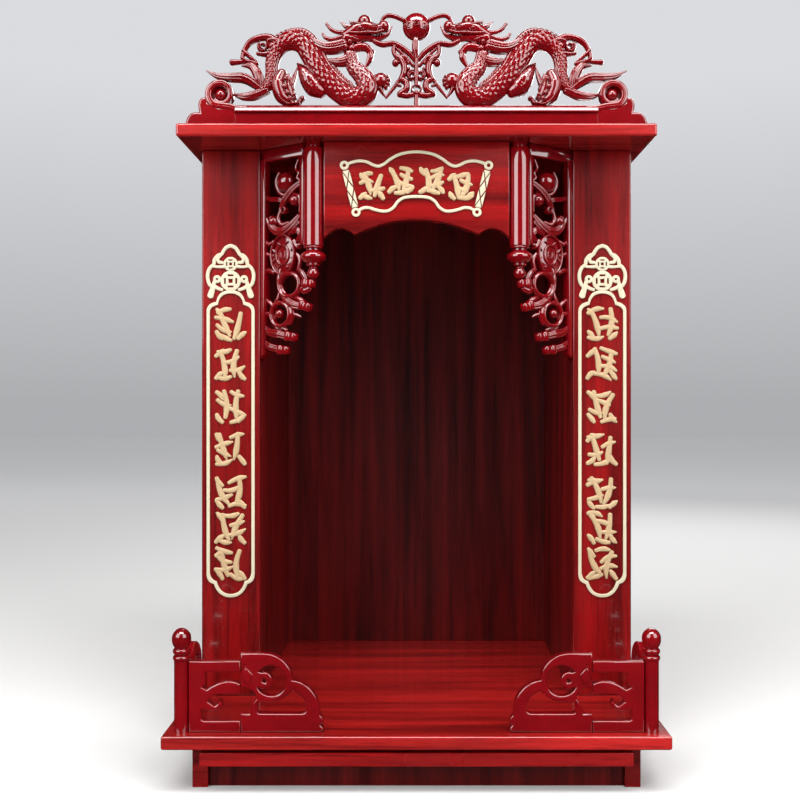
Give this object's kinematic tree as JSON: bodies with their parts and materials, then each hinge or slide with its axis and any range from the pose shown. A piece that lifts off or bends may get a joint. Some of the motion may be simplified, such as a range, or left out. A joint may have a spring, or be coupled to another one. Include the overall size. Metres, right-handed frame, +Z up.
{
  "type": "household altar cabinet",
  "caption": "Open-fronted red lacquer altar cabinet with pillar panels, roof, carved dragon crest, hanging posts, pierced brackets and a low carved fence on a plinth.",
  "frame": {"origin": "middle of the footprint, on the surface the plinth stands on", "axes": "+X to the right seen from the front, +Y towards the back, +Z up"},
  "size_m": [0.446, 0.35, 0.7072],
  "materials": {
    "lacquered_board": "glossy red lacquer over upright wood grain",
    "lacquered_top": "glossy bright red lacquer over lengthwise wood grain",
    "lacquered_interior": "dark brownish red lacquer over upright wood grain",
    "carved_lacquer": "very glossy dark burgundy lacquer on carved and turned work",
    "gilt_relief": "satin cream gold paint"
  },
  "bodies": {
    "root": {"stile_left": "lacquered_board", "stile_right": "lacquered_board", "outer_wall_left": "lacquered_board", "outer_wall_right": "lacquered_board", "header_board": "lacquered_board", "plinth_side_left": "lacquered_board", "plinth_side_right": "lacquered_board", "base_board": "lacquered_top", "roof_board": "lacquered_top", "plinth_front_rail": "lacquered_top", "inner_wall_left": "lacquered_interior", "inner_wall_right": "lacquered_interior", "back_panel": "lacquered_interior", "plinth_kick_panel": "lacquered_interior", "plinth_back_rail": "lacquered_interior", "hanging_post_left": "carved_lacquer", "hanging_post_right": "carved_lacquer", "carved_bracket_left": "carved_lacquer", "carved_bracket_right": "carved_lacquer", "dragon_crest": "carved_lacquer", "corner_post_front_left": "carved_lacquer", "corner_post_front_right": "carved_lacquer", "fence_rail_left": "carved_lacquer", "fence_rail_right": "carved_lacquer", "fence_cloud_end_left": "carved_lacquer", "fence_cloud_end_right": "carved_lacquer", "side_fence_left": "carved_lacquer", "side_fence_right": "carved_lacquer", "plaque_frame": "gilt_relief", "couplet_frame_left": "gilt_relief", "couplet_frame_right": "gilt_relief"}
  },
  "joints": []
}
